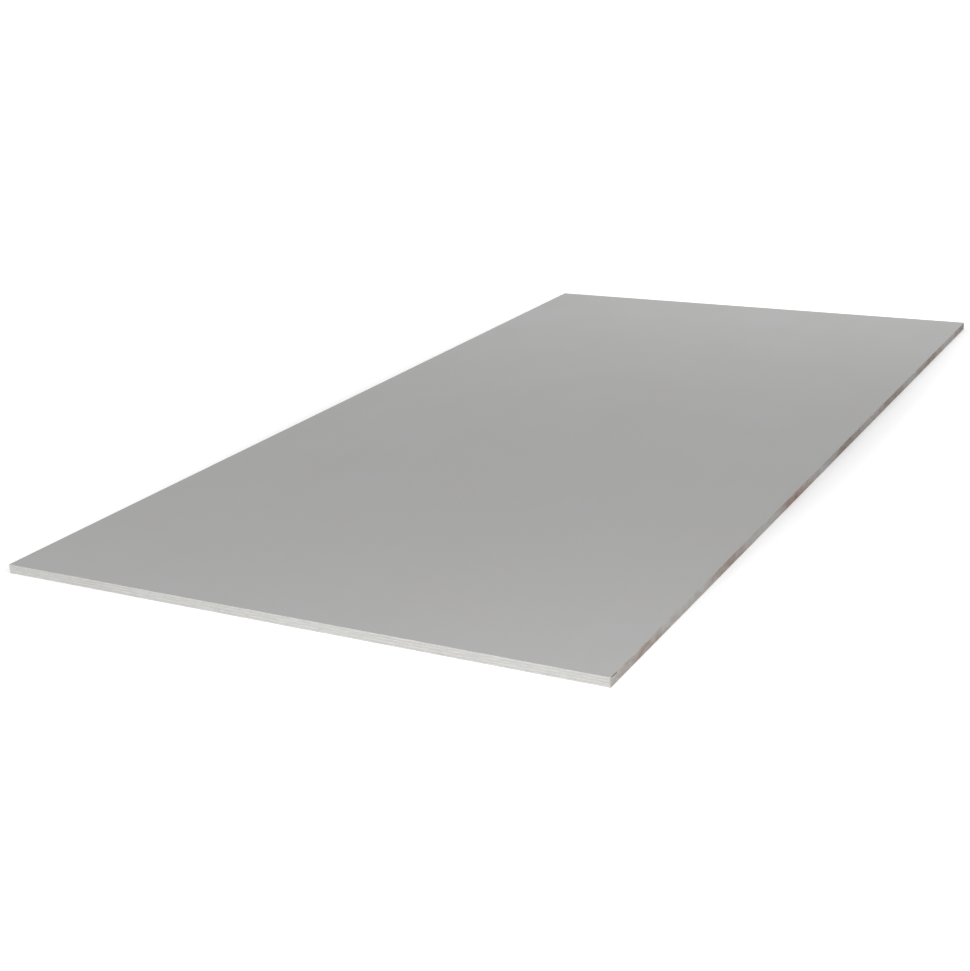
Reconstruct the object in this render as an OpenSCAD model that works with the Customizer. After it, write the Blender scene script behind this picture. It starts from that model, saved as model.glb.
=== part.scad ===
// A stock sheet of primed plywood, lying flat.
// X runs along the sheet, Y across it and Z up. The origin is the centre of its underside.

/* [Sheet] */
// Length of the sheet, along the grain of its face veneers
sheet_length = 2440; // [600:10:3100]
// Width of the sheet, across the grain of its face veneers
sheet_width = 1220; // [300:10:1530]
// Thickness of the sheet, with the primer on both faces
sheet_thickness = 18; // [6:0.5:40]

/* [Edges] */
// How far the sanded arris between a face and a sawn edge cuts into each
arris = 0.5; // [0.1:0.1:2]
// How far each upright corner between two sawn edges is broken
corner_break = 1; // [0.1:0.1:5]

/* [Hidden] */
primer_grey = [0.67, 0.67, 0.66];

// A centred rectangle whose four corners are cut off at 45 degrees
module cut_corner_rectangle(along, across, cut) {
    x = along / 2;
    y = across / 2;
    polygon([
        [x, cut - y], [x, y - cut],
        [x - cut, y], [cut - x, y],
        [-x, y - cut], [-x, cut - y],
        [cut - x, -y], [x - cut, -y],
    ]);
}

// The sheet seen from above, with its broken corners, as tall as the sheet is thick
module plan() {
    linear_extrude(height = sheet_thickness)
        cut_corner_rectangle(sheet_length, sheet_width, corner_break);
}

// A section through the thickness, with its four arrises, standing on the ground
module section(across) {
    translate([0, sheet_thickness / 2])
        cut_corner_rectangle(across, sheet_thickness, arris);
}

// What the arrises of the two long edges leave
module long_edges() {
    rotate([90, 0, 90])
        linear_extrude(height = sheet_length, center = true)
            section(sheet_width);
}

// What the arrises of the two short edges leave
module short_edges() {
    rotate([90, 0, 0])
        linear_extrude(height = sheet_width, center = true)
            section(sheet_length);
}

// The whole sheet is one glued panel, so it is one solid
module plywood_sheet() {
    color(primer_grey)
        intersection() {
            plan();
            long_edges();
            short_edges();
        }
}

plywood_sheet();
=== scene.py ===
# %% [markdown]
# # A primed plywood sheet, lying flat
# The object is one full sheet of seven-ply board. Both faces carry a smooth grey primer, which the
# mill rolls on and bakes. The four sawn edges are sealed with a paler coat. It is thick on the short
# ends and thin on the long sides, where the brown of the veneers shows through in patches.
#
# The construction is already settled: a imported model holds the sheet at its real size, and
# everything here is placed from it. What this notebook adds is the look: a mesh with the plies, glue
# lines, core gaps and worn arrises of a real sawn edge, a finish for the faces and one for each pair
# of edges, a camera, soft lights and a pale floor.

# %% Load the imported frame
import math

import bpy
import numpy as np
from mathutils import Matrix, Vector


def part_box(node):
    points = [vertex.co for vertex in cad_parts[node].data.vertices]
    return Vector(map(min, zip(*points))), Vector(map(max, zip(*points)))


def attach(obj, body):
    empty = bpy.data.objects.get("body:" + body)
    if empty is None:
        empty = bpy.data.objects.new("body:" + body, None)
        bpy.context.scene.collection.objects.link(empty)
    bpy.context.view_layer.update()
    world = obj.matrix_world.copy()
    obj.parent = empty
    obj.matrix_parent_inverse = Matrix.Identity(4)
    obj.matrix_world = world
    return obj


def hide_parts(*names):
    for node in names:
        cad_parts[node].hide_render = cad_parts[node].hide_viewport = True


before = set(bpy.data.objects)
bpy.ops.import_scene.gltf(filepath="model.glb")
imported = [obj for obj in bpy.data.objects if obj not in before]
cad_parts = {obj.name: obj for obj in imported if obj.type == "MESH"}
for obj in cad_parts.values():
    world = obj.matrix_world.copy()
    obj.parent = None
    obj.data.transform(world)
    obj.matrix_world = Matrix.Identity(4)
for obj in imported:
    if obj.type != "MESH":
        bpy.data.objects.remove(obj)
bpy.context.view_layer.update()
sheet_low, sheet_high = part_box("plywood_sheet")
half_length, half_width = sheet_high.x, sheet_high.y
thickness = sheet_high.z - sheet_low.z
print(f"sheet {2 * half_length:.3f} x {2 * half_width:.3f} x {thickness:.3f} m")

# %% [markdown]
# ## The camera
# A sheet this flat says little from the side, so it is seen from above one short end, at about chest
# height, and turned until the long side at the right shows too. A fairly long lens keeps the far end
# from shrinking away. The camera is described the way a photographer would set it up: what it is
# aimed at, from which side, how high and how far away. The aim point is given as shares of half the
# sheet's length and width.

# %% Make the camera
CAMERA_AZIMUTH = math.radians(-61.5)
CAMERA_ELEVATION = math.radians(19.0)
CAMERA_ROLL = math.radians(-2.3)
CAMERA_DISTANCE = 3.364
LENS_MM = 60.5
SENSOR_MM = 36.0
FARTHEST_SEEN = 200.0
AIM_ALONG, AIM_ACROSS = -0.405, -0.019
aim = Vector((AIM_ALONG * half_length, AIM_ACROSS * half_width, thickness))


def direction(azimuth, elevation):
    """The unit vector towards a compass point.

    Azimuth 0 is -Y and 90 degrees is +X. Elevation is the angle above level."""
    level = math.cos(elevation)
    return Vector((math.sin(azimuth) * level, -math.cos(azimuth) * level, math.sin(elevation)))


camera = bpy.data.objects.new("camera", bpy.data.cameras.new("camera"))
camera.data.lens = LENS_MM
camera.data.sensor_width = SENSOR_MM
camera.data.clip_end = FARTHEST_SEEN
towards_camera = direction(CAMERA_AZIMUTH, CAMERA_ELEVATION)
facing = towards_camera.to_track_quat("Z", "Y").to_matrix()
turn = facing @ Matrix.Rotation(CAMERA_ROLL, 3, "Z")
camera.matrix_world = Matrix.Translation(aim + CAMERA_DISTANCE * towards_camera) @ turn.to_4x4()
bpy.context.scene.collection.objects.link(camera)
bpy.context.scene.camera = camera
print("camera at", [round(value, 3) for value in camera.matrix_world.translation])

# %% [markdown]
# ## The lay-up
# Plywood is an odd number of veneers, glued with the grain of each square to that of its neighbours.
# Here the face veneers run along the sheet, so plies 1, 3, 5 and 7 show side grain on the long sides
# and end grain on the short ends, and plies 2, 4 and 6 the other way round. The sheet is all one
# glued panel, so it is all one mesh. A box with a bump map would lose its plies in a low light. The
# mesh is worked out instead as a surface of two parameters: the distance walked round the sheet's
# outline, and the way down its thickness.

# %% Sizes of the lay-up
PLIES = 7
PRIMER = 0.00025
ARRIS = 0.0005
CORNER_RADIUS = 0.001
GLUE_HALF = 0.06
SEED = 18
ply = (thickness - 2 * PRIMER) / PLIES
rng = np.random.default_rng(SEED)
print(f"{PLIES} plies of {ply * 1000:.2f} mm under {PRIMER * 1000:.2f} mm of primer")

# %% [markdown]
# The outline is walked once, anticlockwise as seen from above: a straight side, a rounded corner, and
# so on four times. Its points become the columns of the edge's grid. Side 0 is the front one, at -Y,
# side 1 is the end at +X, side 2 is the back and side 3 the end at -X. A side has as many cells as the
# coarse grid of the broad faces will have beside it, and each cell is walked in twelve steps.

# %% Walk the outline
CELLS = (61, 31, 61, 31)
STEPS_PER_CELL = 12
CORNER_STEPS = 4


def outline():
    """Columns round a rectangle with rounded corners.

    A side lies square to its outward direction. Its points are outward * reach + onward * t, for
    equal steps of t, and its corner's are a centre plus the radius times (cos, sin) of equal steps
    of a quarter turn. Returns the points, their outward directions, the side that each belongs to,
    and the inner loop's point that each faces."""
    points, outwards, sides, inner = [], [], [], []
    first_inner = 0
    for side, cells in enumerate(CELLS):
        reach, half = (half_width, half_length) if side % 2 == 0 else (half_length, half_width)
        angle = math.pi / 2 * (side - 1)
        outward = np.array([math.cos(angle), math.sin(angle)])
        onward = np.array([-math.sin(angle), math.cos(angle)])
        t = np.linspace(CORNER_RADIUS - half, half - CORNER_RADIUS, cells * STEPS_PER_CELL + 1)
        points.append(outward * reach + t[:, None] * onward)
        outwards.append(np.tile(outward, (len(t), 1)))
        facing_cell = np.rint(np.arange(len(t)) / STEPS_PER_CELL).astype(int) - 1
        inner.append(first_inner + np.clip(facing_cell, 0, cells - 2))
        sides.append(np.full(len(t), side))
        turned = angle + math.pi / 2 * np.arange(1, CORNER_STEPS) / CORNER_STEPS
        round_corner = np.stack([np.cos(turned), np.sin(turned)], axis=1)
        centre = outward * (reach - CORNER_RADIUS) + onward * (half - CORNER_RADIUS)
        points.append(centre + CORNER_RADIUS * round_corner)
        outwards.append(round_corner)
        first_inner += cells - 2
        inner.append(np.full(len(turned), first_inner))
        halfway = np.arange(len(turned)) >= len(turned) // 2
        sides.append(np.where(halfway, (side + 1) % 4, side))
    inner = np.concatenate(inner) % first_inner
    return np.vstack(points), np.vstack(outwards), np.concatenate(sides), inner


column_point, column_outward, column_side, column_inner = outline()
steps = np.linalg.norm(np.roll(column_point, -1, axis=0) - column_point, axis=1)
walked = np.concatenate([[0.0], np.cumsum(steps)[:-1]])
perimeter = steps.sum()
columns = len(column_point)
print(f"{columns} columns round {perimeter:.3f} m")

# %% [markdown]
# ## Irregularity
# A sawn edge is never quite even. Every unevenness below is a smooth random curve along the outline:
# random values at equal spacings, joined by a cosine so that they have no kinks, and closed on
# themselves so that the last column meets the first. The arrises are sanded by hand, so they vary a
# little, and here and there something has knocked a dent into them.

# %% Smooth random curves


def wandering(spacing, low=-1.0, high=1.0):
    """A smooth random value for each column.

    Between two random values a and b it is a + (b - a)(1 - cos pi f)/2, where f is the share of the
    way from one to the next."""
    count = int(round(perimeter / spacing))
    values = rng.uniform(low, high, count)
    position = walked / perimeter * count
    index = position.astype(int) % count
    share = (1 - np.cos(math.pi * (position % 1.0))) / 2
    return values[index] * (1 - share) + values[(index + 1) % count] * share


SHORTEST_NICK, SHALLOWEST_NICK = 0.5, 0.3


def nicks(count, width, depth):
    """Short dents at random places, the widest as wide and the deepest as deep as asked for.

    Each is a raised cosine, (1 + cos pi d/w)/2 deep at distance d from its middle, and 0 past its
    half width w. Where two meet, the deeper one counts."""
    middle = rng.uniform(0, perimeter, count)[:, None]
    half = rng.uniform(SHORTEST_NICK, 1.0, count)[:, None] * width / 2
    deep = rng.uniform(SHALLOWEST_NICK, 1.0, count)[:, None] * depth
    away = np.abs((walked - middle + perimeter / 2) % perimeter - perimeter / 2)
    shape = np.where(away < half, (1 + np.cos(math.pi * np.minimum(away / half, 1))) / 2, 0)
    return (shape * deep).max(axis=0)


HAND_SANDED, SANDING_STROKE = 0.2, 0.05
NICK_DEPTH = 0.0006


def sanded_arris(nick_count, nick_width):
    """The size of an arris at each column: nearly even, with a nick here and there."""
    even = ARRIS * (1 + HAND_SANDED * wandering(SANDING_STROKE))
    return even + nicks(nick_count, nick_width, NICK_DEPTH)


top_arris = sanded_arris(nick_count=90, nick_width=0.016)
bottom_arris = sanded_arris(nick_count=60, nick_width=0.018)
print(f"arris from {top_arris.min() * 1000:.2f} to {top_arris.max() * 1000:.2f} mm")

# %% [markdown]
# ## Down the thickness
# Each column has the same rows. Five turn the arris at the top, from the flat face round to the sawn
# edge. Then come the plies: one row at the middle of each, and three at each glue line, which is a
# fine groove. Five more turn the bottom arris. A row is named by its ply level, which is 0 under the
# bottom ply and 7 over the top one.

# %% Rows of the edge
ARRIS_ROWS = 5
arris_turns = np.linspace(0, math.pi / 2, ARRIS_ROWS)
levels = [PLIES - 0.5]
for glue_line in range(PLIES - 1, 0, -1):
    levels += [glue_line + GLUE_HALF, glue_line, glue_line - GLUE_HALF, glue_line - 0.5]
levels = np.array(levels)
rows = len(levels) + 2 * ARRIS_ROWS
print(f"{rows} rows, {columns * rows} points on the edge")

# %% [markdown]
# ## Relief of the sawn edge
# The saw leaves side grain smooth and end grain a little rough and sunk. The seal coat bridges the
# glue lines without filling them, and the glue lines themselves wander by a twentieth of a ply. The
# inner plies are laid from narrower veneers, whose joints don't always close, so a few slots are left
# where such a joint meets the edge. Beside the near right corner the saw has torn a splinter out of
# the top ply.

# %% How far each row is sunk
GLUE_GROOVE = 0.00012
GLUE_WANDER, GLUE_WAVE = 0.05, 0.3
END_GRAIN_SINK = 0.00008
PLY_SET_BACK, SET_BACK_WAVE = 0.00006, 0.12
TORN_DEPTH, TORN_LENGTH = 0.00007, 0.007
SLOTS_PER_PLY, SLOT_WIDTH, SLOT_DEPTH = 9, 0.012, 0.0012
SPLINTER_FROM_CORNER, SPLINTER_HALF = 0.016, 0.014


def per_ply(make_curve, curves=PLIES):
    """As many random curves as asked for, side by side: one column of numbers for each."""
    return np.stack([make_curve() for _ in range(curves)], axis=1)


ply_of_row = np.clip(np.floor(levels).astype(int), 0, PLIES - 1)
on_glue = np.isclose(levels, np.rint(levels))
mid_ply = np.isclose(levels % 1.0, 0.5)
no_line = np.zeros((columns, 1))
glue_lines = per_ply(lambda: wandering(GLUE_WAVE, -GLUE_WANDER, GLUE_WANDER), PLIES - 1)
boundaries = np.concatenate([no_line, glue_lines, no_line], axis=1)
share_up = levels - ply_of_row
below, above = boundaries[:, ply_of_row], boundaries[:, ply_of_row + 1]
shifted_levels = levels + below * (1 - share_up) + above * share_up

# Even-numbered plies have an odd index, and it is they that are cut across on the long sides.
end_grain = (ply_of_row[None, :] % 2) == (1 - column_side[:, None] % 2)
set_back = per_ply(lambda: wandering(SET_BACK_WAVE, 0.0, PLY_SET_BACK))[:, ply_of_row]
torn = per_ply(lambda: wandering(TORN_LENGTH, 0.0, TORN_DEPTH))[:, ply_of_row]
sink = set_back + np.where(end_grain, END_GRAIN_SINK + torn, 0)
sink = np.where(on_glue[None, :], GLUE_GROOVE, sink)
slots = per_ply(lambda: nicks(SLOTS_PER_PLY, SLOT_WIDTH, SLOT_DEPTH))[:, ply_of_row]
inner_ply = (ply_of_row > 0) & (ply_of_row < PLIES - 1)
has_slot = end_grain & inner_ply[None, :] & mid_ply[None, :]
sink = sink + np.where(has_slot, slots, 0)

from_splinter = np.abs(column_point[:, 0] + half_length - SPLINTER_FROM_CORNER) / SPLINTER_HALF
torn_out = (column_side == 0) & (from_splinter < 1)
splinter = np.where(torn_out, SLOT_DEPTH * np.cos(from_splinter * math.pi / 2), 0)
sink = sink + splinter[:, None] * (levels > PLIES - 1)
print(f"sunk by up to {sink.max() * 1000:.2f} mm")

# %% [markdown]
# ## Where the seal is thin
# Sheets get their edge seal in a stack. The short ends come out evenly coated. On the long sides the
# coat stays thin in stretches about 0.4 m apart, and there the wood shows through, in some places red
# and in some brown. The front side's stretches are a short list, because they are what one notices
# about this sheet. The back side's are drawn at random in the same rhythm. Two wandering curves blotch
# all four edges a little. What comes out is two numbers for each column: how bare the wood is, and how
# red.

# %% Thin stretches of the seal
FRONT_STRETCHES = (
    # middle, half length, bareness, redness
    (-1.10, 0.20, 0.17, 0.3),
    (-0.70, 0.12, 0.27, 0.5),
    (-0.29, 0.15, 0.28, 0.8),
    (0.07, 0.19, 0.27, 0.1),
    (0.44, 0.20, 0.33, 0.2),
    (0.84, 0.24, 0.27, 0.2),
    (1.19, 0.16, 0.24, 0.0),
)
RHYTHM, OFF_BEAT = 0.385, 0.05
STRETCH_HALF = (0.10, 0.20)
STRETCH_BARENESS = (0.2, 0.35)
STRETCH_REDNESS = (0.1, 0.9)
SIDE_BARENESS = 0.18
END_BARENESS, END_REDNESS = -0.15, 0.3
BLOTCHES = (
    # how much barer or less bare, how far apart
    (0.04, 0.04),
    (0.03, 0.15),
)


def wood_showing(along, stretches):
    """How bare and how red the wood is at each place along a side.

    A stretch is a raised cosine round its middle, (1 + cos pi d/w)/2 at distance d with half length
    w. The barest stretch wins, and the redness is their average, weighed by their bareness."""
    middle, half, bare, red = (np.array(column)[:, None] for column in zip(*stretches))
    away = np.minimum(np.abs(along - middle) / half, 1.0)
    weight = bare * (1 + np.cos(math.pi * away)) / 2
    redness = (weight * red).sum(axis=0) / np.maximum(weight.sum(axis=0), 1e-6)
    return weight.max(axis=0), redness


def random_stretch(middle):
    """A stretch near the given middle, like those of the front side."""
    moved = middle + rng.uniform(-OFF_BEAT, OFF_BEAT)
    half, bare = rng.uniform(*STRETCH_HALF), rng.uniform(*STRETCH_BARENESS)
    return moved, half, bare, rng.uniform(*STRETCH_REDNESS)


back_stretches = [random_stretch(RHYTHM * i) for i in range(-3, 4)]
front_bare, front_red = wood_showing(column_point[:, 0], FRONT_STRETCHES)
back_bare, back_red = wood_showing(column_point[:, 0], back_stretches)
on_front, on_back = column_side == 0, column_side == 2
bareness = np.where(column_side % 2 == 0, SIDE_BARENESS, END_BARENESS)
bareness = bareness + np.where(on_front, front_bare, np.where(on_back, back_bare, 0.0))
for amount, spacing in BLOTCHES:
    bareness = bareness + amount * wandering(spacing)
redness = np.where(on_front, front_red, np.where(on_back, back_red, END_REDNESS))
print(f"bareness from {bareness.min():.2f} to {bareness.max():.2f}")

# %% [markdown]
# ## Points and faces
# The edge's points are its columns, moved inwards by the arris or by the relief. An arris is a quarter
# of a circle, whose size changes along the outline. With every point go three numbers that the
# finishes read later: its ply level, how deep it is sunk, and how worn its arris is. An arris counts as
# just inside the outermost ply.

# %% Points of the edge
ARRIS_LEVEL = 0.1


def edge_points():
    """Every point of the edge, as columns x rows x (x, y, z).

    An arris of size r turned by an angle t lies r(1 - sin t) in from the edge and r(1 - cos t) down
    from the face."""
    top, bottom = top_arris[:, None], bottom_arris[:, None]
    inset = np.hstack([
        top * (1 - np.sin(arris_turns)),
        sink,
        bottom * (1 - np.sin(arris_turns[::-1])),
    ])
    height = np.hstack([
        thickness - top * (1 - np.cos(arris_turns)),
        PRIMER + ply * shifted_levels,
        bottom * (1 - np.cos(arris_turns[::-1])),
    ])
    flat = column_point[:, None, :] - inset[:, :, None] * column_outward[:, None, :]
    return np.concatenate([flat, height[:, :, None]], axis=2)


def down_the_edge(at_top, at_plies, at_bottom):
    """One number for every point of the edge. The arrises' rows all share their column's number."""
    each_row = np.ones((1, ARRIS_ROWS))
    return np.hstack([at_top * each_row, at_plies, at_bottom * each_row])


points = edge_points()
even = np.ones((columns, 1))
top_level, bottom_level = PLIES - ARRIS_LEVEL, ARRIS_LEVEL
level_of_point = down_the_edge(top_level * even, np.tile(levels, (columns, 1)), bottom_level * even)
depth_of_point = down_the_edge(0 * even, sink, 0 * even)
wear_of_point = down_the_edge(
    top_arris[:, None] / ARRIS - 1, np.zeros_like(sink), bottom_arris[:, None] / ARRIS - 1
)
# The first and last rows are the rims of the flat faces, and a knock stops short of those.
wear_of_point[:, [0, -1]] = 0
print("edge points", points.shape)

# %% [markdown]
# Both broad faces are dead flat, so they need few points: a coarse grid of squares, joined to the fine
# columns by one ring. Going round the rim, each step faces one point of the inner loop, which makes a
# triangle, or two, which makes a four-sided face.

# %% Points and faces of a broad face
grid_x = np.linspace(-half_length, half_length, CELLS[0] + 1)[1:-1]
grid_y = np.linspace(-half_width, half_width, CELLS[1] + 1)[1:-1]
grid_index = np.arange(len(grid_x) * len(grid_y)).reshape(len(grid_x), len(grid_y))
inner_loop = np.concatenate([
    grid_index[:-1, 0], grid_index[-1, :-1], grid_index[:0:-1, -1], grid_index[0, :0:-1]
])


def broad_face(height, rim, first):
    """A flat face: its grid's points, the squares between them, and the ring that joins the rim.

    rim holds the rim's point numbers, and first is the number of the grid's first point."""
    x, y = np.meshgrid(grid_x, grid_y, indexing="ij")
    grid = np.stack([x, y, np.full_like(x, height)], axis=-1).reshape(-1, 3)
    i = grid_index + first
    squares = np.stack([i[:-1, :-1], i[1:, :-1], i[1:, 1:], i[:-1, 1:]], axis=-1).reshape(-1, 4)
    here, there = column_inner, np.roll(column_inner, -1)
    next_rim = np.roll(rim, -1)
    loop = inner_loop + first
    single = here == there
    triangles = np.stack([rim, next_rim, loop[here]], axis=1)[single]
    doubles = np.stack([rim, next_rim, loop[there], loop[here]], axis=1)[~single]
    return grid, [squares, triangles, doubles]


# %% Join everything into one closed mesh
index = np.arange(columns * rows).reshape(columns, rows)
onward = np.roll(index, -1, axis=0)
bands = np.stack([index[:, :-1], index[:, 1:], onward[:, 1:], onward[:, :-1]], axis=-1)
top_grid, top_faces = broad_face(thickness, index[:, 0], columns * rows)
bottom_grid, bottom_faces = broad_face(0.0, index[:, -1], columns * rows + len(top_grid))
vertices = np.concatenate([points.reshape(-1, 3), top_grid, bottom_grid])
groups = [bands.reshape(-1, 4), *top_faces, *[f[:, ::-1] for f in bottom_faces]]
corner_counts = np.concatenate([np.full(len(g), g.shape[1]) for g in groups])
corners = np.concatenate([g.ravel() for g in groups])
triangle_count = int((corner_counts - 2).sum())
print(f"{len(vertices)} points, {triangle_count} triangles")

# %% [markdown]
# The sheet wears three finishes. The primer covers the broad faces and laps half way round each arris,
# which is two of its four bands. The rest of a band of faces belongs to the long or the short edges.

# %% Which finish each face wears
FACE, LONG_EDGE, SHORT_EDGE = 0, 1, 2
PRIMED_BANDS = 2
side_of_band = np.where(column_side % 2 == 0, LONG_EDGE, SHORT_EDGE)
band_material = np.tile(side_of_band[:, None], (1, rows - 1))
band_material[:, :PRIMED_BANDS] = FACE
band_material[:, -PRIMED_BANDS:] = FACE
band_count = band_material.size
flat_count = len(corner_counts) - band_count
material_of_face = np.concatenate([band_material.ravel(), np.full(flat_count, FACE)])
smooth = np.arange(len(corner_counts)) < band_count
print(f"{band_count} faces round the edge, {flat_count} on the two broad faces")

# %% Hand the arrays to Blender
mesh = bpy.data.meshes.new("plywood_sheet_finished")
mesh.vertices.add(len(vertices))
mesh.vertices.foreach_set("co", vertices.astype(np.float32).ravel())
mesh.loops.add(len(corners))
mesh.loops.foreach_set("vertex_index", corners.astype(np.int32))
mesh.polygons.add(len(corner_counts))
first_corners = np.cumsum(corner_counts) - corner_counts
mesh.polygons.foreach_set("loop_start", first_corners.astype(np.int32))
mesh.polygons.foreach_set("material_index", material_of_face.astype(np.int32))
mesh.polygons.foreach_set("use_smooth", smooth)


def store(name, on_edge, on_top=0.0, on_bottom=0.0):
    """Keeps one number per point with the mesh, where the materials can read it."""
    on_top_grid = np.full(len(top_grid), on_top)
    on_bottom_grid = np.full(len(bottom_grid), on_bottom)
    values = np.concatenate([on_edge.ravel(), on_top_grid, on_bottom_grid]).astype(np.float32)
    mesh.attributes.new(name, "FLOAT", "POINT").data.foreach_set("value", values)


store("ply_level", level_of_point, on_top=PLIES)
store("sunk_mm", depth_of_point * 1000)
store("arris_wear", wear_of_point)
store("bare_wood", np.tile(bareness[:, None], (1, rows)))
store("red_wood", np.tile(redness[:, None], (1, rows)))
mesh.update()
print("mesh had faults:", mesh.validate())

# %% The sheet takes the place of the plain one
sheet = bpy.data.objects.new("plywood_sheet_finished", mesh)
bpy.context.scene.collection.objects.link(sheet)
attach(sheet, "root")
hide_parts("plywood_sheet")
print(sheet.name, "rides on root")

# %% [markdown]
# ## A map of the whole sheet
# A finish that is painted onto a picture needs the mesh unrolled flat. The two faces become two broad
# strips. Each sawn edge becomes a strip of its own, stretched across its thickness, because its plies
# need far more room than their real share of the sheet. None of the finishes reads this map: it is
# there for baking them.

# %% Unroll the sheet
MAP_NAME = "OFBake"
FACE_STRIP = 0.375
EDGE_STRIP = 0.0625
GAP = 0.003
BROAD = -1


def strip(first, height, along, across):
    """Places a strip of the map, with a gap round it: along and across run from 0 to 1 inside it."""
    u = GAP + (1 - 2 * GAP) * along
    v = first + GAP + (height - 2 * GAP) * across
    return np.stack([u, v], axis=-1)


corner_point = vertices[corners]
share_x = corner_point[:, 0] / (2 * half_length) + 0.5
share_y = corner_point[:, 1] / (2 * half_width) + 0.5
share_z = corner_point[:, 2] / thickness
side_of_face = np.concatenate([np.repeat(column_side, rows - 1), np.full(flat_count, BROAD)])
side_of_corner = np.repeat(side_of_face, corner_counts)
bottom_corner = (side_of_corner == BROAD) & (share_z < 0.5)
unrolled = strip(0.0, FACE_STRIP, share_x, share_y)
unrolled[bottom_corner] = strip(FACE_STRIP, FACE_STRIP, share_x, share_y)[bottom_corner]
for side in range(4):
    along = share_x if side % 2 == 0 else share_y
    edge_strip = strip(2 * FACE_STRIP + side * EDGE_STRIP, EDGE_STRIP, along, share_z)
    unrolled[side_of_corner == side] = edge_strip[side_of_corner == side]
mesh.uv_layers.new(name=MAP_NAME).data.foreach_set("uv", unrolled.astype(np.float32).ravel())
print("map from", unrolled.min(axis=0).round(3), "to", unrolled.max(axis=0).round(3))

# %% [markdown]
# ## Colours
# Colours are written as a paint chart has them, from 0 to 255, and turned into the linear light that
# the shaders reckon with. The primer is a nearly neutral grey. The seal is paler, and each kind of
# edge has three shades of it: where it lies thick, where it is thin, and where it sinks in.

# %% Colours of the finishes


def paint(red, green, blue):
    """A screen colour from 0 to 255 as linear light: (c / 255 + 0.055) / 1.055 to the power 2.4."""
    return tuple(((c / 255 + 0.055) / 1.055) ** 2.4 for c in (red, green, blue)) + (1.0,)


FACE_GREY = paint(164, 165, 164)
FACE_GREY_WARM = paint(166, 165, 163)
FACE_GREY_LIGHT = paint(172, 172, 170)
SCUFFED = paint(184, 184, 181)
END_SEAL = paint(215, 215, 213)
END_SEAL_THIN = paint(202, 202, 199)
END_SEAL_SUNK = paint(186, 185, 182)
SIDE_SEAL = paint(216, 215, 213)
SIDE_SEAL_THIN = paint(204, 203, 200)
SIDE_SEAL_SUNK = paint(185, 183, 178)
BROWN_WOOD = paint(141, 112, 86)
RED_WOOD = paint(168, 110, 94)
# The dark of the glue, also painted into the slots as their shade.
DARK_GLUE_AND_SLOT_SHADE = paint(74, 56, 48)
WHITE = (1.0, 1.0, 1.0, 1.0)
print("face grey in linear light:", [round(channel, 3) for channel in FACE_GREY[:3]])

# %% [markdown]
# ## Building with nodes
# A material is a small machine of nodes, and writing one out takes many lines of the same kind: add a
# node, set it, wire it. A few short helpers keep the recipes below readable. Each takes plain numbers
# or other nodes' sockets alike.

# %% Node helpers


def node(tree, kind, **settings):
    """Adds a node such as "Math" and sets its properties."""
    made = tree.nodes.new("ShaderNode" + kind)
    for name, value in settings.items():
        setattr(made, name, value)
    return made


def feed(tree, socket, value):
    """Wires another node's socket into this one, or writes a plain value on it."""
    if isinstance(value, bpy.types.NodeSocket):
        tree.links.new(value, socket)
    else:
        socket.default_value = value


def compute(tree, operation, *values):
    """One step of arithmetic, such as compute(tree, "MULTIPLY", a, 0.5)."""
    made = node(tree, "Math", operation=operation)
    for socket, value in zip(made.inputs, values):
        feed(tree, socket, value)
    return made.outputs[0]


def remap(tree, value, low, high, to_low=0.0, to_high=1.0):
    """Carries low..high smoothly over to to_low..to_high, and stays within it."""
    made = node(tree, "MapRange", interpolation_type="SMOOTHSTEP")
    for socket, number in zip(made.inputs, (value, low, high, to_low, to_high)):
        feed(tree, socket, number)
    return made.outputs["Result"]


def blend(tree, share, first, second, how="MIX"):
    """Mixes two colours: all of the first at share 0, all of the second at share 1."""
    made = node(tree, "Mix", data_type="RGBA", blend_type=how)
    colour_sockets = [socket for socket in made.inputs if socket.type == "RGBA"]
    for socket, value in zip((made.inputs["Factor"], *colour_sockets), (share, first, second)):
        feed(tree, socket, value)
    return next(socket for socket in made.outputs if socket.type == "RGBA")


# %% [markdown]
# Every texture here is made of smooth noise, looked up at a place. The place decides how the noise is
# stretched: a number multiplied by 14 makes features about 1/14 of a metre long in that direction,
# and one multiplied by 1300 makes them as fine as a pore. Smooth noise seldom leaves the middle of its
# range, so a mask made from it stretches that middle out.

# %% Places and noises
NOISE_LOW, NOISE_HIGH = 0.3, 0.7


def vector(tree, x, y, z):
    """Joins three numbers into one place."""
    made = node(tree, "CombineXYZ")
    for socket, value in zip(made.inputs, (x, y, z)):
        feed(tree, socket, value)
    return made.outputs[0]


def split(tree, position):
    """Takes a place apart. Returns sockets named X, Y and Z."""
    made = node(tree, "SeparateXYZ")
    feed(tree, made.inputs[0], position)
    return made.outputs


def scaled(tree, value, factor):
    """A number times a factor."""
    return compute(tree, "MULTIPLY", value, factor)


def noise(tree, position, scale=1.0, detail=2.0, roughness=0.5):
    """Smooth noise from 0 to 1, with a feature every 1/scale or so."""
    made = node(tree, "TexNoise")
    feed(tree, made.inputs["Vector"], position)
    made.inputs["Scale"].default_value = scale
    made.inputs["Detail"].default_value = detail
    made.inputs["Roughness"].default_value = roughness
    return made.outputs["Fac"]


def swing(tree, noise_value, amount, around):
    """A number that a noise moves up and down: around + (noise - 0.5) * amount."""
    centred = compute(tree, "SUBTRACT", noise_value, 0.5)
    return compute(tree, "MULTIPLY_ADD", centred, amount, around)


# %% [markdown]
# ## Node groups
# Three effects are shared between the finishes: the film of paint, the sawn veneers and the worn
# seal. Each is a group, a box of nodes with named inputs and outputs, built once and placed in every
# material that needs it. Groups hand out plain colours, masks and heights only. The shader itself
# stays in the material.

# %% Group helpers


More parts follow.
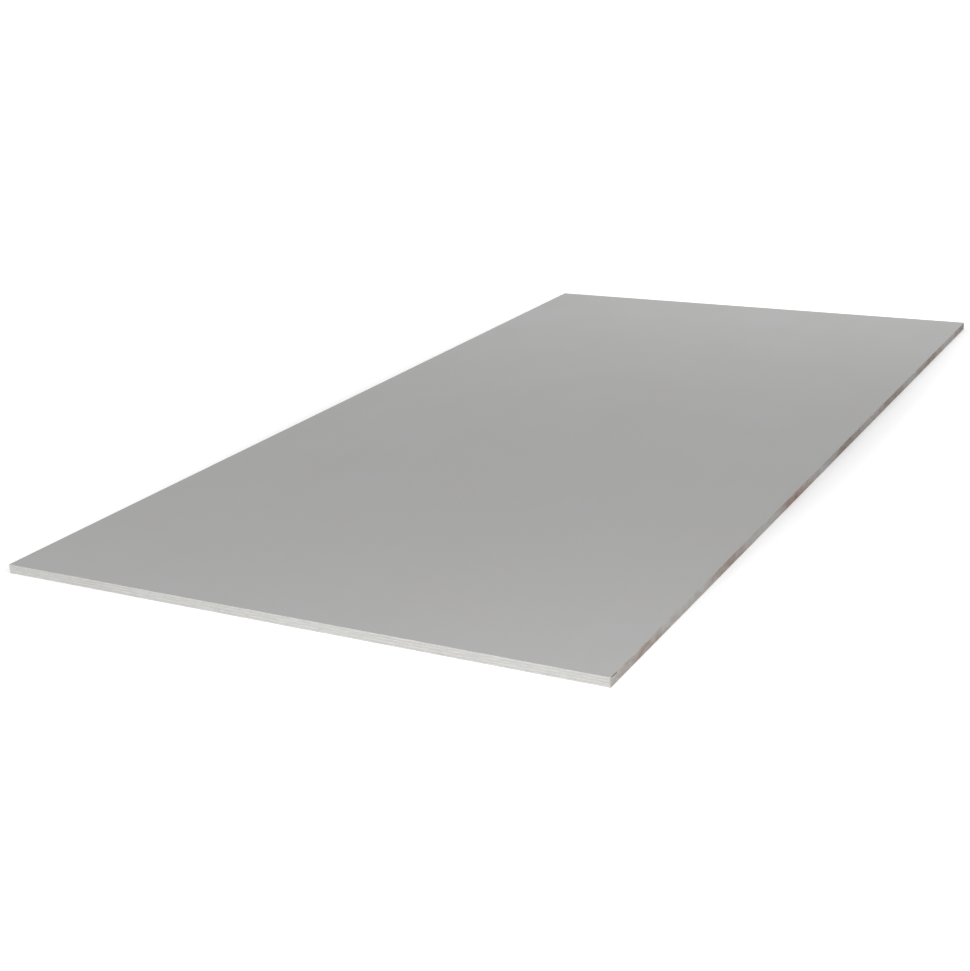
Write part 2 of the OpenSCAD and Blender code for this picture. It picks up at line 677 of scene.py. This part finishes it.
def new_group(name, inputs, outputs):
    """An empty group. Inputs and outputs are given as {name: kind of socket}.

    Returns its tree, the sockets that bring its inputs in, and those that take its outputs."""
    tree = bpy.data.node_groups.new(name, "ShaderNodeTree")
    for label, kind in inputs.items():
        tree.interface.new_socket(label, in_out="INPUT", socket_type="NodeSocket" + kind)
    for label, kind in outputs.items():
        tree.interface.new_socket(label, in_out="OUTPUT", socket_type="NodeSocket" + kind)
    return tree, tree.nodes.new("NodeGroupInput").outputs, tree.nodes.new("NodeGroupOutput").inputs


def place(tree, group, **values):
    """Puts a group into a tree and feeds its inputs. A name is written with _ for its spaces."""
    made = node(tree, "Group", node_tree=group)
    for name, value in values.items():
        feed(tree, made.inputs[name.replace("_", " ")], value)
    return made.outputs


# %% [markdown]
# ### The film of paint
# Rolled paint dries with a fine orange peel: pits about 3 mm apart, with a closer stipple over them,
# only some hundredths of a millimetre deep. Over a hand's breadth the film is also a touch thicker or
# thinner. The first two are height, for a bump. The third is a patchiness: it tints the colour and the
# gloss of the faces, and lets the seal of the edges sink in more here and less there.

# %% Group: paint film
PITS_PER_METRE = 300
STIPPLE_PER_METRE, STIPPLE_SHARE = 1100, 0.4
PATCHES_PER_METRE = 4.5


def make_paint_film():
    """Orange peel and patchiness of a rolled coat, from a place on the sheet."""
    tree, given, result = new_group(
        "paint film", {"Place": "Vector"}, {"Peel": "Float", "Patchiness": "Float"}
    )
    pits = noise(tree, given["Place"], PITS_PER_METRE, detail=1.0)
    stipple = noise(tree, given["Place"], STIPPLE_PER_METRE)
    patches = noise(tree, given["Place"], PATCHES_PER_METRE, detail=5.0, roughness=0.6)
    feed(tree, result["Peel"], compute(tree, "MULTIPLY_ADD", stipple, STIPPLE_SHARE, pits))
    feed(tree, result["Patchiness"], remap(tree, patches, NOISE_LOW, NOISE_HIGH))
    return tree


paint_film = make_paint_film()
print(paint_film.name, len(paint_film.nodes), "nodes")

# %% [markdown]
# ### Sawn veneers
# The group takes the distance along an edge and the ply level, and knows from them which ply it is
# in. Side grain is drawn as streaks a third of a millimetre high and some centimetres long. End grain
# is a close speckle of cut pores. Between two plies lies a dark line of glue. A turn of 0 is for the
# long sides, where the even-numbered plies are end grain, and a turn of 1 for the short ends. The
# seed keeps opposite edges from being alike. The saw's chatter runs over plies and glue alike, as
# fine slanting ridges 2 mm apart, and goes into the relief with the grain.

# %% Group: sawn veneers
STREAKS_PER_METRE, STREAKS_PER_PLY = 14.0, 8.0
PORES_PER_METRE, PORES_PER_PLY = 1300.0, 3.5
SHADES_PER_METRE, SHADES_SWING = 5.0, 0.9
RIDGES_PER_METRE, RIDGE_SLANT, RIDGES_SHARE = 420.0, 0.25, 0.5
GLUE_LINE, GLUE_FADED = 0.03, 0.1
PLY_APART, EDGES_APART = 7.3, 40.0


def off(tree, value, centre):
    """How far a number is from another, either way."""
    return compute(tree, "ABSOLUTE", compute(tree, "SUBTRACT", value, centre))


def make_sawn_veneers():
    """Tone, grain direction, glue lines and relief of the plies.

    A ply cut across has |odd - turn| = 1, where odd is the remainder of its number over 2. A glue
    line lies at each whole level but the two outer ones, which are the primed faces."""
    tree, given, result = new_group(
        "sawn veneers",
        {"Run": "Float", "Seed": "Float", "Level": "Float", "Turn": "Float"},
        {"Tone": "Float", "End Grain": "Float", "Glue": "Float", "Relief": "Float"},
    )
    run, level = given["Run"], given["Level"]
    ply_number = compute(tree, "FLOOR", level)
    cut_across = off(tree, compute(tree, "MODULO", ply_number, 2.0), given["Turn"])
    seed = scaled(tree, given["Seed"], EDGES_APART)
    ply_seed = compute(tree, "MULTIPLY_ADD", ply_number, PLY_APART, seed)

    along, down = scaled(tree, run, STREAKS_PER_METRE), scaled(tree, level, STREAKS_PER_PLY)
    streaks = noise(tree, vector(tree, along, ply_seed, down), detail=4.0, roughness=0.6)
    along, down = scaled(tree, run, PORES_PER_METRE), scaled(tree, level, PORES_PER_PLY)
    pores = noise(tree, vector(tree, along, ply_seed, down), roughness=0.7)
    pores_less_streaks = compute(tree, "SUBTRACT", pores, streaks)
    grain = compute(tree, "MULTIPLY_ADD", cut_across, pores_less_streaks, streaks)
    shade_place = vector(tree, scaled(tree, run, SHADES_PER_METRE), ply_seed, 0.0)
    shades = noise(tree, shade_place, detail=3.0)

    off_line = off(tree, level, compute(tree, "ROUND", level))
    on_line = remap(tree, off_line, GLUE_LINE, GLUE_FADED, 1.0, 0.0)
    between_plies = compute(tree, "LESS_THAN", off(tree, level, PLIES / 2), PLIES / 2 - 0.5)

    slanted = compute(tree, "MULTIPLY_ADD", level, RIDGE_SLANT, scaled(tree, run, RIDGES_PER_METRE))
    ridges = noise(tree, vector(tree, slanted, seed, 0.0), detail=1.0)
    feed(tree, result["Tone"], swing(tree, shades, SHADES_SWING, grain))
    feed(tree, result["End Grain"], cut_across)
    feed(tree, result["Glue"], compute(tree, "MULTIPLY", on_line, between_plies))
    feed(tree, result["Relief"], compute(tree, "MULTIPLY_ADD", ridges, RIDGES_SHARE, grain))
    return tree


sawn_veneers = make_sawn_veneers()
print(sawn_veneers.name, len(sawn_veneers.nodes), "nodes")

# %% [markdown]
# ### Worn seal
# The seal is a thin coat over rough wood. How bare the wood is comes in as a slow number along the
# edge. Two noises fray it, one some centimetres long and one at the size of the saw marks, so that a
# thin stretch ends in a ragged border and not in a haze. The thirst is what each spot drinks or sheds
# of the coat by itself. Where the coat does cover, it still dries thick and thin, in dashes about a
# centimetre long.

# %% Group: worn seal
RAGS_PER_METRE, RAGS_PER_PLY, RAGS_FRAY = 38.0, 0.2, 0.9
SAW_MARKS_PER_METRE, SAW_MARKS_PER_PLY, SAW_MARKS_FRAY = 450.0, 1.5, 0.5
DASHES_PER_METRE, DASHES_PER_PLY, DASHES_FRAY = 70.0, 1.2, 0.3
DRIES_THICK, DRIES_THIN = 0.35, 0.65
SEALS_APART = 25.0
THICKEST_COVER = 0.98


def make_worn_seal():
    """How much of the wood the coat covers, and how thin it dries where it does.

    Cover goes from THICKEST_COVER down to 0, where the coat is gone."""
    tree, given, result = new_group(
        "worn seal",
        {"Run": "Float", "Seed": "Float", "Level": "Float", "Bareness": "Float", "Thirst": "Float"},
        {"Cover": "Float", "Thinness": "Float"},
    )
    run, level = given["Run"], given["Level"]
    seed = scaled(tree, given["Seed"], SEALS_APART)
    along, down = scaled(tree, run, RAGS_PER_METRE), scaled(tree, level, RAGS_PER_PLY)
    rags = noise(tree, vector(tree, along, seed, down), detail=4.0, roughness=0.6)
    along, down = scaled(tree, run, SAW_MARKS_PER_METRE), scaled(tree, level, SAW_MARKS_PER_PLY)
    saw_marks = noise(tree, vector(tree, along, seed, down), detail=3.0)
    frayed = swing(tree, rags, RAGS_FRAY, given["Bareness"])
    frayed = swing(tree, saw_marks, SAW_MARKS_FRAY, frayed)
    frayed = compute(tree, "ADD", frayed, given["Thirst"])
    feed(tree, result["Cover"], remap(tree, frayed, 0.0, 1.0, THICKEST_COVER, 0.0))
    along, down = scaled(tree, run, DASHES_PER_METRE), scaled(tree, level, DASHES_PER_PLY)
    dashes = noise(tree, vector(tree, along, seed, down), detail=3.0, roughness=0.6)
    dashes = swing(tree, saw_marks, DASHES_FRAY, dashes)
    feed(tree, result["Thinness"], remap(tree, dashes, DRIES_THICK, DRIES_THIN))
    return tree


worn_seal = make_worn_seal()
print(worn_seal.name, len(worn_seal.nodes), "nodes")

# %% [markdown]
# ## Materials on the sheet
# Each finish is a material in one of the sheet's three slots. It reads places from the object's own
# coordinates, which are metres from the middle of the sheet, and reads back the numbers that were
# stored with the mesh.

# %% Material helpers


def new_material(name):
    """A material on the sheet. Returns its tree and its shader's inputs."""
    material = bpy.data.materials.new(name)
    material.use_nodes = True
    mesh.materials.append(material)
    return material.node_tree, material.node_tree.nodes["Principled BSDF"].inputs


def stored(tree, name):
    """Reads back a number that was stored with the mesh."""
    return node(tree, "Attribute", attribute_type="GEOMETRY", attribute_name=name).outputs["Fac"]


def bump(tree, height, depth):
    """A bump whose height of 1 stands for a real depth in metres."""
    made = node(tree, "Bump")
    feed(tree, made.inputs["Height"], height)
    made.inputs["Distance"].default_value = depth
    made.inputs["Strength"].default_value = 1.0
    return made.outputs["Normal"]


# %% [markdown]
# ### The grey face
# The faces are sanded, primed and baked. The primer is a satin, nearly neutral grey, and hides the
# wood. What one still sees close by is its orange peel, faint bands along the sheet from the roller,
# and a hint of the face veneer's grain, which telegraphs through as relief. Where the arris has been
# knocked, the coat is scuffed pale.

# %% Material: grey face primer
PEEL_DEPTH = 0.000012
SATIN, SATIN_VARIES = 0.29, 0.03
SCUFF_BEGINS, SCUFF_FULL, SCUFF_SHOWS, SCUFF_DULLS = 0.45, 0.95, 0.7, 0.25
BAND_LENGTHS_PER_METRE, BANDS_PER_METRE, BANDS_SHOW = 0.5, 16.0, 0.12
FIBRES_PER_METRE_ALONG, FIBRES_PER_METRE_ACROSS, FIBRES_SHARE = 9.0, 380.0, 0.35


def grey_primer(name):
    """The finish of both broad faces."""
    tree, shader = new_material(name)
    on_sheet = node(tree, "TexCoord").outputs["Object"]
    x, y, z = split(tree, on_sheet)
    film = place(tree, paint_film, Place=on_sheet)
    along, across = scaled(tree, x, BAND_LENGTHS_PER_METRE), scaled(tree, y, BANDS_PER_METRE)
    roller_bands = noise(tree, vector(tree, along, across, 0.0), detail=3.0)
    along = scaled(tree, x, FIBRES_PER_METRE_ALONG)
    across = scaled(tree, y, FIBRES_PER_METRE_ACROSS)
    fibres = noise(tree, vector(tree, along, across, z), detail=3.0, roughness=0.6)

    grey = blend(tree, film["Patchiness"], FACE_GREY, FACE_GREY_WARM)
    banded = remap(tree, roller_bands, NOISE_LOW, NOISE_HIGH, 0.0, BANDS_SHOW)
    grey = blend(tree, banded, grey, FACE_GREY_LIGHT)
    wear = stored(tree, "arris_wear")
    scuffed = remap(tree, wear, SCUFF_BEGINS, SCUFF_FULL, 0.0, SCUFF_SHOWS)
    feed(tree, shader["Base Color"], blend(tree, scuffed, grey, SCUFFED))
    satin = compute(tree, "MULTIPLY_ADD", film["Patchiness"], SATIN_VARIES, SATIN)
    feed(tree, shader["Roughness"], compute(tree, "MULTIPLY_ADD", scuffed, SCUFF_DULLS, satin))
    height = compute(tree, "MULTIPLY_ADD", fibres, FIBRES_SHARE, film["Peel"])
    feed(tree, shader["Normal"], bump(tree, height, PEEL_DEPTH))
    print(name, len(tree.nodes), "nodes")


grey_primer("grey_face_primer")

# %% [markdown]
# ### The sealed edges
# All four edges are the same thing: sawn veneers under a pale coat. One function builds both
# finishes. The long sides read their length along X, and the short ends along Y, where the grain is
# turned. Wood is darker where it is cut across its grain, and darkest along the glue. The coat then
# covers as much of it as the worn seal says. End grain drinks more of the coat than side grain, glue
# lines shed it, and it never reaches the bottom of a slot. Where it does cover, it still shows the
# plies faintly: over side grain and glue it sinks in and dries a little darker. It stands a little
# higher than the bare wood, and levels the saw marks under it.
# A slot's bottom, and the torn splinter's, takes the glue's dark colour as painted shade.

# %% Materials: sealed edges
SAW_MARK_DEPTH = 0.00006
SLOT_BEGINS_MM, SLOT_DARK_MM = 0.25, 0.9
END_GRAIN_THIRST, GLUE_THIRST, SLOT_THIRST = 0.1, 0.22, 0.8
WOOD_SHADE, TONE_SHADES, END_GRAIN_SHADES, GLUE_SHOWS = 0.62, 0.8, -0.18, 0.7
LEAST_SINKING, PATCHY_SINKING = 0.2, 0.5
WOOD_ROUGHNESS, SEAL_SMOOTHS = 0.75, -0.2
SEAL_HEIGHT, SEAL_LEVELS = 0.5, -0.45


def bare_veneers(tree, wood, slot):
    """The colour of the wood under the coat: brown to red, shaded by grain, dark in glue, and painted
    shade in slots.
    """
    colour = blend(tree, stored(tree, "red_wood"), BROWN_WOOD, RED_WOOD)
    shade = compute(tree, "MULTIPLY_ADD", wood["End Grain"], END_GRAIN_SHADES, WOOD_SHADE)
    shade = compute(tree, "MULTIPLY_ADD", wood["Tone"], TONE_SHADES, shade)
    colour = blend(tree, 1.0, colour, vector(tree, shade, shade, shade), how="MULTIPLY")
    colour = blend(tree, scaled(tree, wood["Glue"], GLUE_SHOWS), colour, DARK_GLUE_AND_SLOT_SHADE)
    # Painted shade: the bottom of a slot or of the splinter is painted dark.
    return blend(tree, slot, colour, DARK_GLUE_AND_SLOT_SHADE)


def seal_coat(tree, wood, film, thinness, thick, thin, sunk_in):
    """The colour of the coat: dashed from thick to thin, and sunk in over side grain and glue."""
    colour = blend(tree, thinness, thick, thin)
    side_grain = compute(tree, "SUBTRACT", 1.0, wood["End Grain"])
    patchy = compute(tree, "MULTIPLY_ADD", film["Patchiness"], PATCHY_SINKING, LEAST_SINKING)
    sinking = compute(tree, "MAXIMUM", compute(tree, "MULTIPLY", side_grain, patchy), wood["Glue"])
    return blend(tree, sinking, colour, sunk_in)


def sealed_edge(name, along, across, turn, shades):
    """The finish of two opposite edges, which run along one axis and face the other.

    shades are the seal's colours: where it is thick, where it is thin, and where it sinks in."""
    tree, shader = new_material(name)
    on_sheet = node(tree, "TexCoord").outputs["Object"]
    axes = split(tree, on_sheet)
    run, seed, level = axes[along], axes[across], stored(tree, "ply_level")
    wood = place(tree, sawn_veneers, Run=run, Seed=seed, Level=level, Turn=turn)
    film = place(tree, paint_film, Place=on_sheet)
    slot = remap(tree, stored(tree, "sunk_mm"), SLOT_BEGINS_MM, SLOT_DARK_MM)

    thirst = scaled(tree, wood["End Grain"], END_GRAIN_THIRST)
    thirst = compute(tree, "MULTIPLY_ADD", wood["Glue"], GLUE_THIRST, thirst)
    thirst = compute(tree, "MULTIPLY_ADD", slot, SLOT_THIRST, thirst)
    bare = stored(tree, "bare_wood")
    worn = place(tree, worn_seal, Run=run, Seed=seed, Level=level, Bareness=bare, Thirst=thirst)
    cover = worn["Cover"]

    veneers = bare_veneers(tree, wood, slot)
    seal = seal_coat(tree, wood, film, worn["Thinness"], *shades)
    feed(tree, shader["Base Color"], blend(tree, cover, veneers, seal))
    roughness = compute(tree, "MULTIPLY_ADD", cover, SEAL_SMOOTHS, WOOD_ROUGHNESS)
    feed(tree, shader["Roughness"], roughness)
    wood_share = compute(tree, "MULTIPLY_ADD", cover, SEAL_LEVELS, 1.0)
    coat = scaled(tree, cover, SEAL_HEIGHT)
    height = compute(tree, "MULTIPLY_ADD", wood["Relief"], wood_share, coat)
    feed(tree, shader["Normal"], bump(tree, height, SAW_MARK_DEPTH))
    print(name, len(tree.nodes), "nodes")


sealed_edge("long_edge_thin_seal", "X", "Y", 0.0, (SIDE_SEAL, SIDE_SEAL_THIN, SIDE_SEAL_SUNK))
sealed_edge("short_edge_seal", "Y", "X", 1.0, (END_SEAL, END_SEAL_THIN, END_SEAL_SUNK))

# %% [markdown]
# ## The studio
# The sheet is nearly a mirror's shape, so its shading is all in how evenly the light falls on it. Four
# soft boxes do it: two small ones low in front of the short end, which make the near edge bright and
# leave the middle of the face a little darker, one over the far end, and a large one well off to the
# left. Only dull surfaces are lit by them. A reflection of a lamp would slide about over such a flat
# face as one walks round it, so the satin primer mirrors the even white of the room instead.

# %% Soft boxes
scene = bpy.context.scene
scene.view_settings.view_transform = "Standard"


def soft_box(name, position, size, power):
    """A rectangular light that faces the middle of the sheet, in metres and watts.

    It lights dull surfaces only: neither the camera nor a reflection sees it."""
    lamp = bpy.data.lights.new(name, "AREA")
    lamp.shape = "RECTANGLE"
    lamp.size, lamp.size_y = size
    lamp.energy = power
    holder = bpy.data.objects.new(name, lamp)
    turn = Vector(position).to_track_quat("Z", "Y").to_matrix().to_4x4()
    holder.matrix_world = Matrix.Translation(position) @ turn
    holder.visible_camera = False
    holder.visible_glossy = False
    scene.collection.objects.link(holder)
    print(name, power, "W")


soft_box("near_left_light", (-2.7, 0.5, 1.0), (1.5, 1.0), 19)
soft_box("near_right_light", (-1.7, -1.0, 1.0), (1.2, 0.8), 11)
soft_box("far_light", (1.8, -0.3, 1.4), (2.0, 1.5), 16)
soft_box("left_light", (0.9, 4.5, 1.0), (2.0, 1.5), 54)

# %% [markdown]
# The world gives a weak fill from all round. The camera and the reflections see it as plain white.

# %% World
FILL = 0.25


def seen_directly(tree):
    """1 for what the camera, a reflection or clear glass sees, 0 for light on a dull surface."""
    path = node(tree, "LightPath").outputs
    seen = compute(tree, "MAXIMUM", path["Is Camera Ray"], path["Is Glossy Ray"])
    return compute(tree, "MAXIMUM", seen, path["Is Transmission Ray"])


world = bpy.data.worlds.new("studio")
world.use_nodes = True
scene.world = world
tree = world.node_tree
background = tree.nodes["Background"].inputs
background["Color"].default_value = WHITE
feed(tree, background["Strength"], remap(tree, seen_directly(tree), 0.0, 1.0, FILL, 1.0))
print("fill", FILL)

# %% [markdown]
# ## The floor
# The floor is a pale sheet that runs to the horizon. A plain white surface would still fade to grey
# where no lamp reaches it, so it also glows by itself, but only for the camera and for reflections.
# Close to the sheet the glow is weaker: that paints a soft shade round the sheet's foot, and lets
# its real shadow show there too.

# %% Floor
FLOOR_REACH = 60.0
FLOOR_WHITE = (0.9, 0.9, 0.9, 1.0)
FLOOR_ROUGHNESS = 0.9
# Painted shade: the floor glows only this much next to the sheet, and fully beyond the reach below.
NEAR_GLOW_PAINTED_SHADE = 0.35
SHADOW_REACH = 0.25


def past_the_sheet(tree):
    """How far outside the sheet a place on the floor lies.

    It is the larger of |x| - half the length and |y| - half the width."""
    x, y, _ = split(tree, node(tree, "TexCoord").outputs["Object"])
    past_end = compute(tree, "SUBTRACT", compute(tree, "ABSOLUTE", x), half_length)
    past_side = compute(tree, "SUBTRACT", compute(tree, "ABSOLUTE", y), half_width)
    return compute(tree, "MAXIMUM", past_end, past_side)


floor_corners = np.array([(-1, -1, 0), (1, -1, 0), (1, 1, 0), (-1, 1, 0)]) * FLOOR_REACH
floor_mesh = bpy.data.meshes.new("floor")
floor_mesh.from_pydata(floor_corners, [], [(0, 1, 2, 3)])
floor = bpy.data.objects.new("floor", floor_mesh)
scene.collection.objects.link(floor)

floor_material = bpy.data.materials.new("pale_floor")
floor_material.use_nodes = True
floor_mesh.materials.append(floor_material)
tree = floor_material.node_tree
shader = tree.nodes["Principled BSDF"].inputs
shader["Base Color"].default_value = FLOOR_WHITE
shader["Roughness"].default_value = FLOOR_ROUGHNESS
shader["Emission Color"].default_value = WHITE
# Painted shade round the sheet: the floor glows less the nearer it is.
glow = remap(tree, past_the_sheet(tree), 0.0, SHADOW_REACH, NEAR_GLOW_PAINTED_SHADE, 1.0)
feed(tree, shader["Emission Strength"], compute(tree, "MULTIPLY", glow, seen_directly(tree)))
print("floor", 2 * FLOOR_REACH, "m wide")
